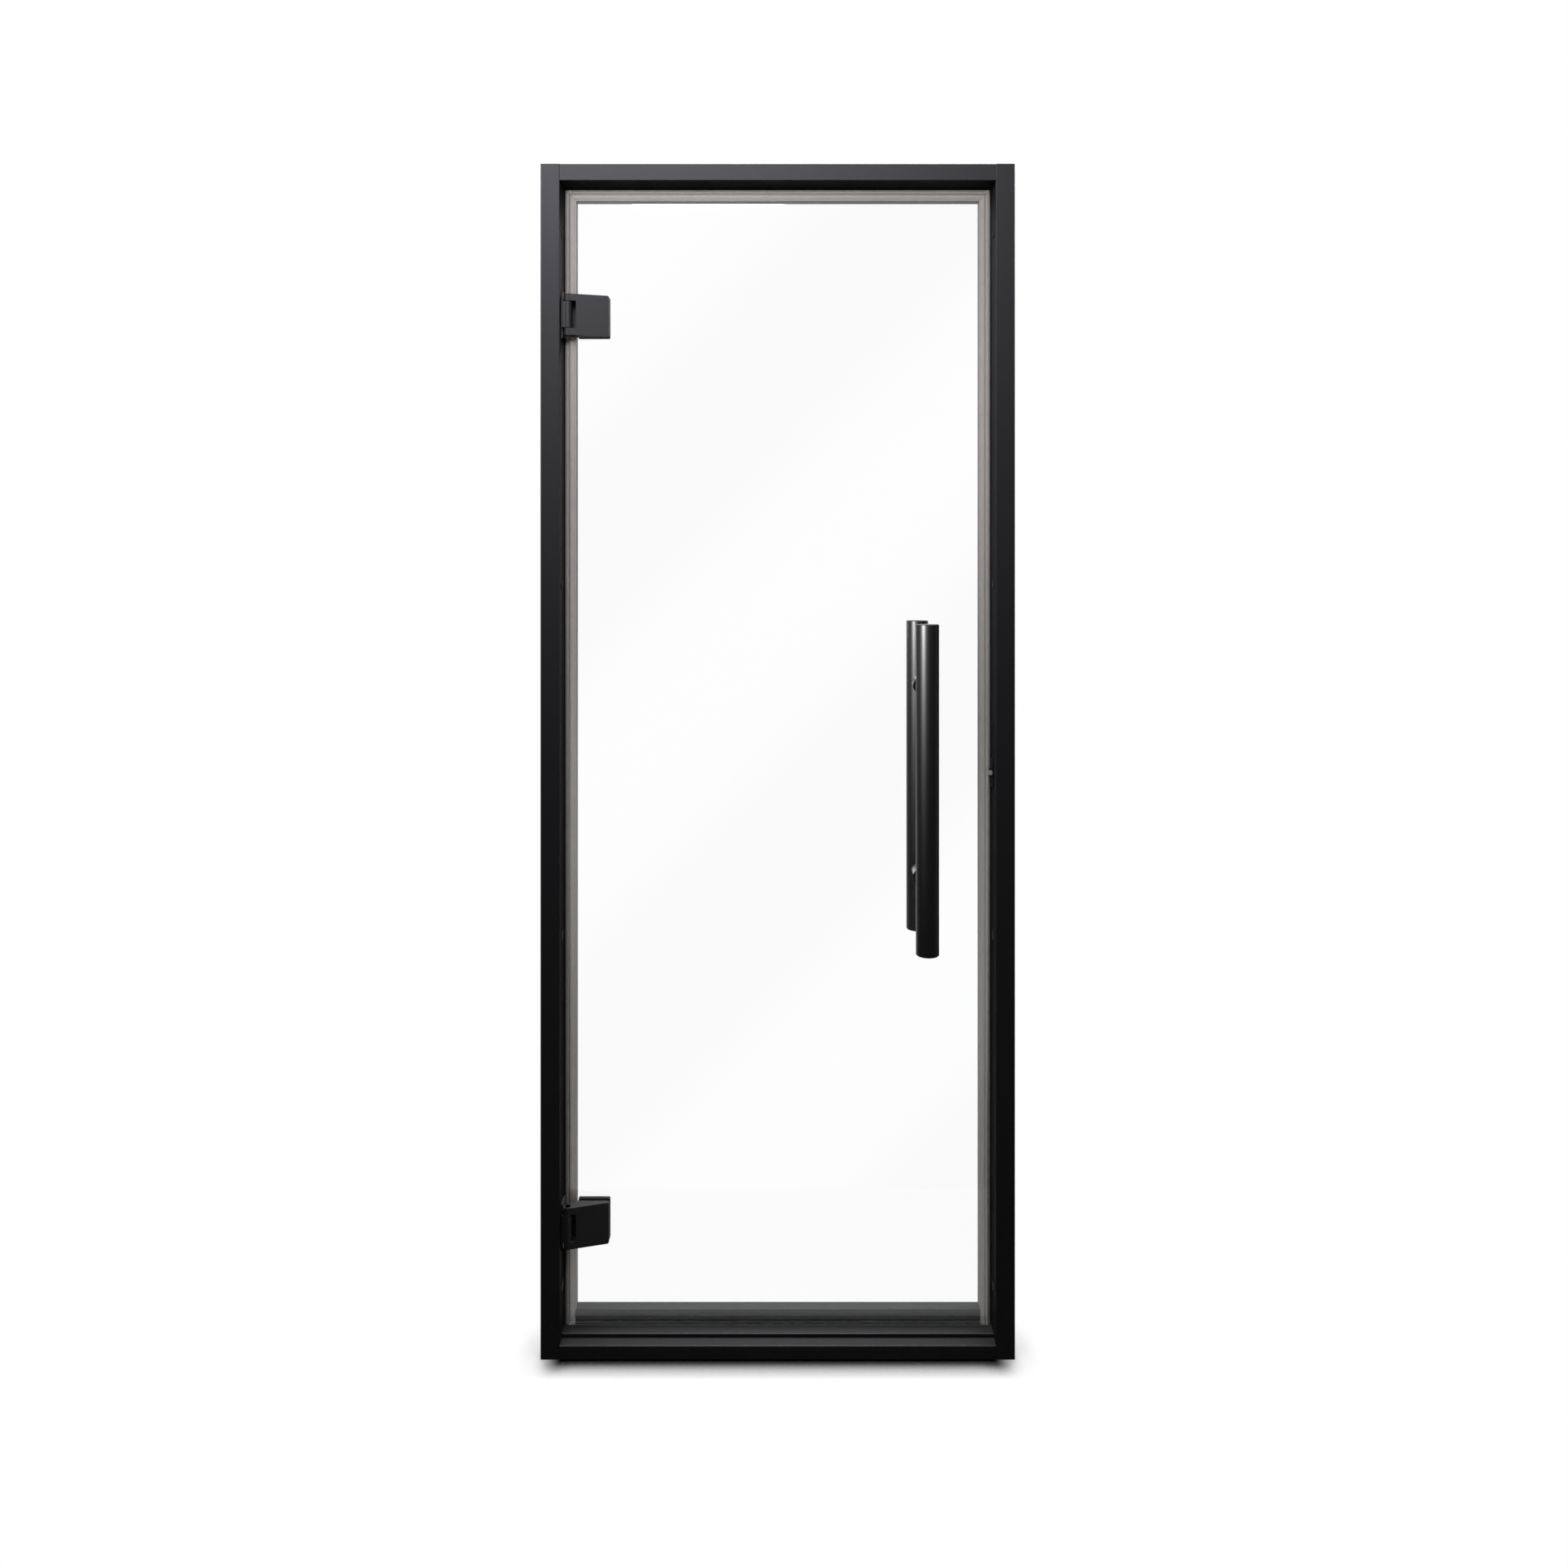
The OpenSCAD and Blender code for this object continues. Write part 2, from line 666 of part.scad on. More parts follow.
// Soft pads between the clamps and both faces of the glass
module clamp_pads() {
    color(dark_rubber) difference() {
        union() {
            along_y(clamp_back, pin_forward) {
                clamp_outline(slot_reach, hinge_h);
                translate([pane_edge, -pocket_h / 2]) square([slot_reach - pane_edge + cut, pocket_h]);
            }
            along_y(pin_forward + glass_t, rear_face) clamp_outline(rear_left, hinge_h);
        }
        for (side = [-1, 1]) translate([clamp_screw_x, 0, side * clamp_screw_z])
            rod_y(clamp_hole_d, clamp_back - cut, rear_face + cut);
    }
}

// Places a hinge's piece at the upper or the lower pin
module at_upper() {
    translate([pin_x, pin_y, upper_hinge_z]) children();
}

module at_lower() {
    translate([pin_x, pin_y, lower_hinge_z]) children();
}

// The pane with its holes and ground edges
module glass_pane() {
    edge_cut = arris * sqrt(2);
    mid_x = (glass_left + glass_right) / 2;
    mid_z = (glass_bottom + glass_top) / 2;
    color([0.8, 0.9, 0.88, 0.4]) difference() {
        along_y(glass_front, glass_back) translate([glass_left, glass_bottom])
            rounded_rect(glass_right - glass_left, glass_top - glass_bottom, pane_r);
        for (y = [glass_front, glass_back]) {
            for (x = [glass_left, glass_right]) translate([x, y, mid_z]) rotate([0, 0, 45])
                cube([edge_cut, edge_cut, glass_top - glass_bottom - 2 * pane_r], center = true);
            for (z = [glass_bottom, glass_top]) translate([mid_x, y, z]) rotate([45, 0, 0])
                cube([glass_right - glass_left - 2 * pane_r, edge_cut, edge_cut], center = true);
        }
        for (hinge_z = [lower_hinge_z, upper_hinge_z], side = [-1, 1])
            translate([pin_x + clamp_screw_x, 0, hinge_z + side * clamp_screw_z])
                rod_y(clamp_hole_d, glass_front - cut, glass_back + cut);
        at_fixings() rod_y(stud_hole_d, -glass_t, glass_t);
    }
}

// Places a piece at both handle fixings, in the middle of the glass
module at_fixings() {
    for (side = [-1, 1]) translate([handle_x, glass_mid, handle_z + side * fixing_pitch / 2]) children();
}

// A pull bar inside the door; the outside one is its mirror in the glass
module pull_bar() {
    tube_l = bar_l - 2 * cap_t;
    color(black_metal) difference() {
        translate([handle_x, glass_mid + bar_offset, handle_z - tube_l / 2]) difference() {
            cylinder(d = bar_d, h = tube_l);
            translate([0, 0, -cut]) cylinder(r = bar_bore_r, h = tube_l + 2 * cut);
        }
        at_fixings() rod_y(stud_d, 0, bar_offset);
    }
}

// Pressed-in caps with a small chamfer round the disc
module bar_caps() {
    chamfer = cap_t / 3;
    color(black_metal) translate([handle_x, glass_mid + bar_offset, handle_z])
        for (flip = [0, 1]) mirror([0, 0, flip]) translate([0, 0, bar_l / 2 - cap_t]) rotate_extrude()
            polygon([
                [0, -cap_plug_l], [bar_bore_r - bar_wall, -cap_plug_l], [bar_bore_r, -cap_plug_l + bar_wall],
                [bar_bore_r, 0], [bar_r, 0], [bar_r, cap_t - chamfer], [bar_r - chamfer, cap_t], [0, cap_t]
            ]);
}

// Standoffs coped to the bar they carry
module standoffs() {
    color(black_metal) difference() {
        at_fixings() difference() {
            rod_y(standoff_d, glass_t / 2 + washer_t, bar_offset - bar_bore_r);
            rod_y(stud_d, 0, bar_offset);
        }
        translate([handle_x, glass_mid + bar_offset, handle_z])
            cylinder(d = bar_d, h = bar_l, center = true);
    }
}

// Mirrors a piece of the inside handle to the outside of the glass
module outside() {
    translate([0, glass_mid, 0]) mirror([0, 1, 0]) translate([0, -glass_mid, 0]) children();
}

// Threaded studs from one bar to the other, through the standoffs and the glass
module handle_studs() {
    stud_end = bar_offset - bar_bore_r + stud_past_wall;
    color(steel) at_fixings() rod_y(stud_d, -stud_end, stud_end);
}

module handle_washers() {
    color(dark_rubber) at_fixings() for (flip = [0, 1]) mirror([0, flip, 0]) difference() {
        rod_y(washer_d, glass_t / 2, glass_t / 2 + washer_t);
        rod_y(stud_d + 2 * stud_slack, 0, glass_t);
    }
}

// Nylon sleeves that keep the studs off the glass
module stud_sleeves() {
    color(nylon) at_fixings() difference() {
        rod_y(stud_hole_d, -glass_t / 2, glass_t / 2);
        rod_y(stud_d + 2 * stud_slack, -glass_t, glass_t);
    }
}

// Places a piece of the catch at the reveal, level with the roller
module at_catch() {
    translate([reveal_x, catch_y, catch_z]) children();
}

// A block centred on the catch's line of travel
module catch_block(x0, x1, w, h) {
    translate([x0, -w / 2, -h / 2]) cube([x1 - x0, w, h]);
}

module catch_plate() {
    color(steel) at_catch() difference() {
        rotate([90, 0, 90]) translate([-plate_w / 2, -plate_h / 2, -plate_t]) linear_extrude(plate_t)
            rounded_rect(plate_w, plate_h, edge_r);
        catch_block(-plate_t - cut, cut, fork_w + 2 * slide_clear, fork_h + 2 * slide_clear);
        for (side = [-1, 1]) translate([-plate_t, 0, side * plate_screw_z])
            countersunk_x(plate_screw_d, plate_screw_head_d, plate_screw_l);
    }
}

module catch_screws() {
    color(steel) at_catch() for (side = [-1, 1]) translate([-plate_t, 0, side * plate_screw_z])
        countersunk_x(plate_screw_d, plate_screw_head_d, plate_screw_l);
}

// Box inside the jamb that guides the plunger
module catch_housing() {
    color(dark_rubber) at_catch() difference() {
        catch_block(0, housing_l, housing_w, housing_h);
        catch_block(housing_wall, housing_l - housing_wall,
            fork_w + 2 * slide_clear, fork_h + 2 * (collar_over + slide_clear));
        catch_block(-cut, housing_wall + cut, fork_w + 2 * slide_clear, fork_h + 2 * slide_clear);
    }
}

// Sliding fork that holds the roller; its collar stops behind the housing's front wall
module catch_plunger() {
    throat_r = roller_r + slide_clear;
    color(nylon) at_catch() difference() {
        union() {
            catch_block(roller_x, plunger_back, fork_w, fork_h);
            translate([roller_x, 0, 0]) cylinder(d = fork_nose_d, h = fork_h, center = true);
            catch_block(collar_x, collar_x + collar_t, fork_w, fork_h + 2 * collar_over);
            rod_x(peg_d, 0, plunger_back + peg_l);
        }
        translate([roller_x, 0, 0]) {
            cylinder(r = throat_r, h = roller_h + 2 * slide_clear, center = true);
            cylinder(d = roller_pin_d, h = fork_h + 2 * cut, center = true);
        }
        catch_block(roller_x - fork_w, roller_x, fork_w + cut, roller_h + 2 * slide_clear);
    }
}

module catch_roller() {
    crown = 0.6;
    bore_r = roller_pin_d / 2 + roller_pin_fit;
    color(nylon) at_catch() translate([roller_x, 0, -roller_h / 2]) rotate_extrude() polygon([
        [bore_r, 0], [roller_r - crown, 0], [roller_r, crown],
        [roller_r, roller_h - crown], [roller_r - crown, roller_h], [bore_r, roller_h]
    ]);
}

module roller_pin() {
    color(steel) at_catch() translate([roller_x, 0, 0])
        cylinder(d = roller_pin_d, h = fork_h, center = true);
}

// Ring of points round the spring's wire, at one step along its helix
function spring_ring(t, sides) =
    let (r = (spring_d - spring_wire) / 2, w = spring_wire / 2, run = spring_l - spring_wire)
    [for (i = [0:sides - 1]) let (a = 360 * i / sides, rr = r + w * cos(a)) [
        plunger_back + w + run * t + w * sin(a),
        rr * cos(360 * spring_turns * t),
        rr * sin(360 * spring_turns * t)
    ]];

module catch_spring() {
    sides = 6;
    steps = 16 * spring_turns;
    rings = [for (s = [0:steps]) spring_ring(s / steps, sides)];
    walls = [for (s = [0:steps - 1], i = [0:sides - 1]) let (j = (i + 1) % sides)
        [s * sides + i, s * sides + j, (s + 1) * sides + j, (s + 1) * sides + i]];
    first = [for (i = [sides - 1:-1:0]) i];
    last = [for (i = [0:sides - 1]) steps * sides + i];
    color(steel) at_catch() polyhedron([for (ring = rings) each ring], concat(walls, [first, last]));
}

hinge_jamb();
latch_jamb();
head_rail();
sill_rail();
corner_screws();
jamb_end_caps();
fixing_caps();
hinge_side_seal();
latch_side_seal();
head_seal();
sill_seal();
at_upper() hinge_bracket();  // upper_hinge_bracket
at_upper() bracket_screws();  // upper_bracket_screws
at_upper() backing_plate();  // upper_backing_plate
at_upper() hinge_pin();  // upper_hinge_pin
at_upper() hinge_bushes();  // upper_hinge_bushes
at_upper() front_clamp();  // upper_front_clamp
at_upper() rear_clamp();  // upper_rear_clamp
at_upper() clamp_pads();  // upper_clamp_pads
at_upper() clamp_screws();  // upper_clamp_screws
at_lower() hinge_bracket();  // lower_hinge_bracket
at_lower() bracket_screws();  // lower_bracket_screws
at_lower() backing_plate();  // lower_backing_plate
at_lower() hinge_pin();  // lower_hinge_pin
at_lower() hinge_bushes();  // lower_hinge_bushes
at_lower() front_clamp();  // lower_front_clamp
at_lower() rear_clamp();  // lower_rear_clamp
at_lower() clamp_pads();  // lower_clamp_pads
at_lower() clamp_screws();  // lower_clamp_screws
glass_pane();
outside() pull_bar();  // outer_bar
pull_bar();  // inner_bar
outside() bar_caps();  // outer_bar_caps
bar_caps();  // inner_bar_caps
outside() standoffs();  // outer_standoffs
standoffs();  // inner_standoffs
handle_studs();
handle_washers();
stud_sleeves();
catch_plate();
catch_housing();
catch_plunger();
catch_roller();
roller_pin();
catch_spring();
catch_screws();
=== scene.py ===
import math

import bpy
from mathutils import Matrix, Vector


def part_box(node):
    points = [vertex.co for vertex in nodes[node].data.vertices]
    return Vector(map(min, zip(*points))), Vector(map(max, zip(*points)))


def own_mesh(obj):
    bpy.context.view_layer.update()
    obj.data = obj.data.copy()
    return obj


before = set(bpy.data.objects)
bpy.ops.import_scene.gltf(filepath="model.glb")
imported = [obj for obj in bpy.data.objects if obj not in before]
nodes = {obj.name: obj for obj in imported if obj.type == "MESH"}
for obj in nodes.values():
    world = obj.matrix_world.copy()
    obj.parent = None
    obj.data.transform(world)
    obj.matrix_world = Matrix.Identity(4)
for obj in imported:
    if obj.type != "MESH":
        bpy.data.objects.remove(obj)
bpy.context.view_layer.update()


# Frame profiles: two full-height jambs, a head and a stepped sill, extruded in aluminium, mitre-free,
# butt jointed and held by screws that run through the jambs into ports in the rails.
# Powder coated in satin black after cutting.
def linear(code):
    """Turns an sRGB hex code into linear values."""
    levels = [int(code[i : i + 2], 16) / 255 for i in (1, 3, 5)]
    return [c / 12.92 if c <= 0.04045 else ((c + 0.055) / 1.055) ** 2.4 for c in levels] + [1.0]


def add(tree, kind, links=(), **settings):
    """Adds a node. Settings name its properties or inputs; links pair an input with an output."""
    node = tree.nodes.new(kind)
    for key, value in settings.items():
        if hasattr(node, key):
            setattr(node, key, value)
        else:
            node.inputs[key.replace("_", " ")].default_value = value
    for name, socket in links:
        tree.links.new(socket, node.inputs[name])
    return node


def start_material(name):
    """A new material with its tree and an empty output, ready for its shader."""
    mat = bpy.data.materials.new(name)
    mat.use_nodes = True
    mat.node_tree.nodes.clear()
    output = mat.node_tree.nodes.new("ShaderNodeOutputMaterial")
    return mat, mat.node_tree, output


def finish_nodes(mat, *names):
    """Gives CAD nodes their finish."""
    for name in names:
        nodes[name].data.materials.clear()
        nodes[name].data.materials.append(mat)


# Powder coat on aluminium. The cured powder leaves a low orange peel of about 3 mm and a fine sparkle
# of gloss at about 1 mm, which break up the reflections; the film itself is near black.
powder_coat, tree, output = start_material("satin_black_powder_coat")
place = add(tree, "ShaderNodeTexCoord").outputs["Object"]
PEEL_MM, GRIT_MM, CLOUD_MM = 3.0, 1.0, 160.0
peel = add(tree, "ShaderNodeTexNoise", [("Vector", place)], Scale=1000 / PEEL_MM, Detail=2.0)
grit = add(tree, "ShaderNodeTexNoise", [("Vector", place)], Scale=1000 / GRIT_MM, Detail=3.0)
cloud = add(tree, "ShaderNodeTexNoise", [("Vector", place)], Scale=1000 / CLOUD_MM, Detail=4.0)
tint = add(tree, "ShaderNodeValToRGB", [("Fac", cloud.outputs["Fac"])])
tint.color_ramp.elements[0].color = linear("#08080a")
tint.color_ramp.elements[1].color = linear("#0e0e10")
rough = add(tree, "ShaderNodeMapRange", [("Value", grit.outputs["Fac"])], To_Min=0.54, To_Max=0.66)
face = add(tree, "ShaderNodeNewGeometry").outputs["True Normal"]
bump = add(
    tree,
    "ShaderNodeBump",
    [("Height", peel.outputs["Fac"]), ("Normal", face)],
    Strength=0.12,
    Distance=0.0004,
)
shader = add(
    tree,
    "ShaderNodeBsdfPrincipled",
    [
        ("Base Color", tint.outputs["Color"]),
        ("Roughness", rough.outputs["Result"]),
        ("Normal", bump.outputs["Normal"]),
    ],
    Specular_IOR_Level=0.05,
)
tree.links.new(shader.outputs["BSDF"], output.inputs["Surface"])
finish_nodes(powder_coat, "hinge_jamb", "latch_jamb", "head_rail", "sill_rail")


# Screws at the four corners, zinc plated steel with countersunk heads, driven through the jambs'
# outside walls into the rails' ports. The same finish serves every hidden screw, pin and plate.
# Zinc plate: a bluish grey metal, dulled by its passivation, with faint turning marks.
zinc, tree, output = start_material("zinc_plated_steel")
place = add(tree, "ShaderNodeTexCoord").outputs["Object"]
MARK_MM, BLOOM_MM = 0.6, 5.0
mark = add(tree, "ShaderNodeTexNoise", [("Vector", place)], Scale=1000 / MARK_MM, Detail=2.0)
bloom = add(tree, "ShaderNodeTexNoise", [("Vector", place)], Scale=1000 / BLOOM_MM, Detail=3.0)
tint = add(tree, "ShaderNodeValToRGB", [("Fac", bloom.outputs["Fac"])])
tint.color_ramp.elements[0].color = linear("#a9abae")
tint.color_ramp.elements[1].color = linear("#c4c6c8")
rough = add(tree, "ShaderNodeMapRange", [("Value", mark.outputs["Fac"])], To_Min=0.24, To_Max=0.4)
shader = add(
    tree,
    "ShaderNodeBsdfPrincipled",
    [("Base Color", tint.outputs["Color"]), ("Roughness", rough.outputs["Result"])],
    Metallic=1.0,
)
tree.links.new(shader.outputs["BSDF"], output.inputs["Surface"])
finish_nodes(zinc, "corner_screws")


# Plugs in the jambs' ends, and caps over the access holes of the wall fixings: moulded black
# polyamide, pressed in by hand. Moulded plastic shows a fine spark-eroded grain of about 0.5 mm.
moulded, tree, output = start_material("moulded_black_polyamide")
place = add(tree, "ShaderNodeTexCoord").outputs["Object"]
GRAIN_MM = 0.5
grain = add(tree, "ShaderNodeTexNoise", [("Vector", place)], Scale=1000 / GRAIN_MM, Detail=3.0)
rough = add(tree, "ShaderNodeMapRange", [("Value", grain.outputs["Fac"])], To_Min=0.42, To_Max=0.6)
bump = add(tree, "ShaderNodeBump", [("Height", grain.outputs["Fac"])], Strength=0.2, Distance=0.0001)
shader = add(
    tree,
    "ShaderNodeBsdfPrincipled",
    [("Roughness", rough.outputs["Result"]), ("Normal", bump.outputs["Normal"])],
    Base_Color=linear("#0f0f10"),
    Specular_IOR_Level=0.4,
)
tree.links.new(shader.outputs["BSDF"], output.inputs["Surface"])
finish_nodes(moulded, "jamb_end_caps", "fixing_caps")


# Seals on the stop, seen through the glass: hollow double bulbs of light grey silicone on the head and
# both jambs, extruded, pushed into a groove by a barbed stem and mitred at the top corners.
# Their long thin triangles shade in streaks, so each bulb gets its normals from its own axis.
BULB_WIDE, BULB_RISE = 0.0085, 0.0027
BULB_R = BULB_WIDE * BULB_WIDE / 8 / BULB_RISE + BULB_RISE / 2
ON_BULB, FACING_OUT = 0.0001, 0.7


def round_bulbs(name, across, first_edge):
    """Shades the two bulbs of a seal as arcs; across is the axis that the bulbs lie side by side on."""
    low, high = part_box(name)
    edge, inward = (low[across], 1) if first_edge == "low" else (high[across], -1)
    axes = [(edge + inward * (i + 0.5) * BULB_WIDE, low[1] + BULB_R) for i in (0, 1)]
    mesh = nodes[name].data
    mesh.shade_smooth()
    corner_normals = []
    for face in mesh.polygons:
        for index in face.vertices:
            corner = mesh.vertices[index].co
            normal = face.normal.copy()
            for middle, depth in axes:
                arm = Vector((0, corner[1] - depth, 0))
                arm[across] = corner[across] - middle
                on_bulb = abs(arm.length - BULB_R) < ON_BULB
                if on_bulb and arm.normalized().dot(face.normal) > FACING_OUT:
                    normal = arm.normalized()
            corner_normals.append(normal)
    mesh.normals_split_custom_set(corner_normals)


round_bulbs("hinge_side_seal", 0, "low")
round_bulbs("latch_side_seal", 0, "high")
round_bulbs("head_seal", 2, "high")
round_bulbs("sill_seal", 2, "high")

# Silicone is matt and a little waxy, with a fine skin and some dust.
silicone, tree, output = start_material("extruded_grey_silicone")
place = add(tree, "ShaderNodeTexCoord").outputs["Object"]
DUST_MM, SKIN_MM = 14.0, 0.8
dust = add(tree, "ShaderNodeTexNoise", [("Vector", place)], Scale=1000 / DUST_MM, Detail=5.0)
skin = add(tree, "ShaderNodeTexNoise", [("Vector", place)], Scale=1000 / SKIN_MM, Detail=2.0)
tint = add(tree, "ShaderNodeValToRGB", [("Fac", dust.outputs["Fac"])])
tint.color_ramp.elements[0].color = linear("#7c7875")
tint.color_ramp.elements[1].color = linear("#8a8582")
bump = add(tree, "ShaderNodeBump", [("Height", skin.outputs["Fac"])], Strength=0.15, Distance=0.0001)
shader = add(
    tree,
    "ShaderNodeBsdfPrincipled",
    [("Base Color", tint.outputs["Color"]), ("Normal", bump.outputs["Normal"])],
    Roughness=0.62,
    Specular_IOR_Level=0.3,
)
tree.links.new(shader.outputs["BSDF"], output.inputs["Surface"])
finish_nodes(silicone, "hinge_side_seal", "latch_side_seal", "head_seal")


# Seal on the sill's upstand, and the pads and washers that keep metal off the glass: black rubber,
# extruded or cut from sheet. Rubber is matt, with a faint grey bloom.
rubber, tree, output = start_material("black_epdm_rubber")
place = add(tree, "ShaderNodeTexCoord").outputs["Object"]
RUBBER_BLOOM_MM = 9.0
bloom = add(tree, "ShaderNodeTexNoise", [("Vector", place)], Scale=1000 / RUBBER_BLOOM_MM, Detail=4.0)
tint = add(tree, "ShaderNodeValToRGB", [("Fac", bloom.outputs["Fac"])])
tint.color_ramp.elements[0].color = linear("#101011")
tint.color_ramp.elements[1].color = linear("#19191a")
shader = add(
    tree,
    "ShaderNodeBsdfPrincipled",
    [("Base Color", tint.outputs["Color"])],
    Roughness=0.7,
    Specular_IOR_Level=0.2,
)
tree.links.new(shader.outputs["BSDF"], output.inputs["Surface"])
finish_nodes(rubber, "sill_seal")


# Hinges: die-cast aluminium brackets screwed through the reveal into a backing plate, and wedge-shaped
# clamps that hold the glass between pads. A blackened steel pin runs in two moulded bushes.
# The castings are sprayed like the frame, on a tumbled surface with a dimple of about 2 mm.
cast_coat, tree, output = start_material("black_coated_aluminium_casting")
place = add(tree, "ShaderNodeTexCoord").outputs["Object"]
DIMPLE_MM, CAST_GRIT_MM = 2.0, 0.8
dimple = add(tree, "ShaderNodeTexNoise", [("Vector", place)], Scale=1000 / DIMPLE_MM, Detail=3.0)
grit = add(tree, "ShaderNodeTexNoise", [("Vector", place)], Scale=1000 / CAST_GRIT_MM, Detail=3.0)
tint = add(tree, "ShaderNodeValToRGB", [("Fac", dimple.outputs["Fac"])])
tint.color_ramp.elements[0].color = linear("#0a0a0b")
tint.color_ramp.elements[1].color = linear("#111112")
rough = add(tree, "ShaderNodeMapRange", [("Value", grit.outputs["Fac"])], To_Min=0.52, To_Max=0.64)
bump = add(tree, "ShaderNodeBump", [("Height", dimple.outputs["Fac"])], Strength=0.14, Distance=0.0003)
shader = add(
    tree,
    "ShaderNodeBsdfPrincipled",
    [
        ("Base Color", tint.outputs["Color"]),
        ("Roughness", rough.outputs["Result"]),
        ("Normal", bump.outputs["Normal"]),
    ],
    Specular_IOR_Level=0.06,
)
tree.links.new(shader.outputs["BSDF"], output.inputs["Surface"])

# Blackened steel: a thin oxide on ground metal, dark brown-black with a soft metallic gloss.
black_oxide, tree, output = start_material("black_oxide_steel")
place = add(tree, "ShaderNodeTexCoord").outputs["Object"]
OXIDE_MM = 4.0
oxide = add(tree, "ShaderNodeTexNoise", [("Vector", place)], Scale=1000 / OXIDE_MM, Detail=4.0)
tint = add(tree, "ShaderNodeValToRGB", [("Fac", oxide.outputs["Fac"])])
tint.color_ramp.elements[0].color = linear("#131211")
tint.color_ramp.elements[1].color = linear("#1f1e1d")
rough = add(tree, "ShaderNodeMapRange", [("Value", oxide.outputs["Fac"])], To_Min=0.34, To_Max=0.5)
shader = add(
    tree,
    "ShaderNodeBsdfPrincipled",
    [("Base Color", tint.outputs["Color"]), ("Roughness", rough.outputs["Result"])],
    Metallic=1.0,
)
tree.links.new(shader.outputs["BSDF"], output.inputs["Surface"])
for side in ("upper", "lower"):
    finish_nodes(cast_coat, side + "_hinge_bracket", side + "_front_clamp", side + "_rear_clamp")
    finish_nodes(black_oxide, side + "_hinge_pin")
    finish_nodes(moulded, side + "_hinge_bushes")
    finish_nodes(rubber, side + "_clamp_pads")
    finish_nodes(zinc, side + "_bracket_screws", side + "_backing_plate", side + "_clamp_screws")


# The leaf: a pane of 8 mm toughened float glass with ground edges and drilled holes, hung in the
# hinges' clamps. Float glass is clear across its thickness and faintly green along its edges.
# The true normal keeps the float faces flat, so that what lies behind isn't bent.
glass, tree, output = start_material("toughened_float_glass")
face = add(tree, "ShaderNodeNewGeometry").outputs["True Normal"]
shader = add(
    tree,
    "ShaderNodeBsdfPrincipled",
    [("Normal", face)],
    Base_Color=linear("#ffffff"),
    Roughness=0.0,
    IOR=1.52,
    Transmission_Weight=1.0,
)
open_way = add(tree, "ShaderNodeBsdfTransparent", Color=linear("#f8f8f8"))
path = add(tree, "ShaderNodeLightPath")
passes = add(tree, "ShaderNodeMixShader", [("Fac", path.outputs["Is Shadow Ray"])])
tree.links.new(shader.outputs["BSDF"], passes.inputs[1])
tree.links.new(open_way.outputs["BSDF"], passes.inputs[2])
tree.links.new(passes.outputs["Shader"], output.inputs["Surface"])
GREEN_PER_M = 2.5
green = add(tree, "ShaderNodeVolumeAbsorption", Color=linear("#b4dccc"), Density=GREEN_PER_M)
tree.links.new(green.outputs["Volume"], output.inputs["Volume"])
finish_nodes(glass, "glass_pane")


# Pull bars on both faces: round steel tube with pressed-in end caps, on short standoffs that a stud
# through the glass draws together. Coated like the frame; the tube is a little glossier.
bar_coat, tree, output = start_material("black_coated_steel_tube")
place = add(tree, "ShaderNodeTexCoord").outputs["Object"]
BAR_PEEL_MM, BAR_GRIT_MM = 2.5, 0.9
peel = add(tree, "ShaderNodeTexNoise", [("Vector", place)], Scale=1000 / BAR_PEEL_MM, Detail=2.0)
grit = add(tree, "ShaderNodeTexNoise", [("Vector", place)], Scale=1000 / BAR_GRIT_MM, Detail=3.0)
rough = add(tree, "ShaderNodeMapRange", [("Value", grit.outputs["Fac"])], To_Min=0.28, To_Max=0.36)
tint = add(tree, "ShaderNodeValToRGB", [("Fac", peel.outputs["Fac"])])
tint.color_ramp.elements[0].color = linear("#0a0a0b")
tint.color_ramp.elements[1].color = linear("#0f0f10")
bump = add(tree, "ShaderNodeBump", [("Height", peel.outputs["Fac"])], Strength=0.1, Distance=0.0003)
shader = add(
    tree,
    "ShaderNodeBsdfPrincipled",
    [
        ("Base Color", tint.outputs["Color"]),
        ("Roughness", rough.outputs["Result"]),
        ("Normal", bump.outputs["Normal"]),
    ],
    Specular_IOR_Level=0.12,
)
tree.links.new(shader.outputs["BSDF"], output.inputs["Surface"])
finish_nodes(bar_coat, "outer_bar", "inner_bar", "outer_bar_caps", "inner_bar_caps")
finish_nodes(rubber, "handle_washers")
finish_nodes(zinc, "handle_studs")

# Turned stainless steel on the standoffs: fine rings about 0.4 mm apart, drawn at 1 mm so that they show.
turned, tree, output = start_material("turned_stainless_steel")
place = add(tree, "ShaderNodeTexCoord").outputs["Object"]
RING_MM, RING_STRETCH = 1.0, 0.04
rings = add(tree, "ShaderNodeMapping", [("Vector", place)], Scale=(RING_STRETCH, 1.0, RING_STRETCH))
ring = add(
    tree,
    "ShaderNodeTexNoise",
    [("Vector", rings.outputs["Vector"])],
    Scale=1000 / RING_MM,
    Detail=2.0,
)
tint = add(tree, "ShaderNodeValToRGB", [("Fac", ring.outputs["Fac"])])
tint.color_ramp.elements[0].color = linear("#a3a29f")
tint.color_ramp.elements[1].color = linear("#bdbcb9")
rough = add(tree, "ShaderNodeMapRange", [("Value", ring.outputs["Fac"])], To_Min=0.26, To_Max=0.4)
shader = add(
    tree,
    "ShaderNodeBsdfPrincipled",
    [("Base Color", tint.outputs["Color"]), ("Roughness", rough.outputs["Result"])],
    Metallic=1.0,
)
tree.links.new(shader.outputs["BSDF"], output.inputs["Surface"])
finish_nodes(turned, "outer_standoffs", "inner_standoffs")

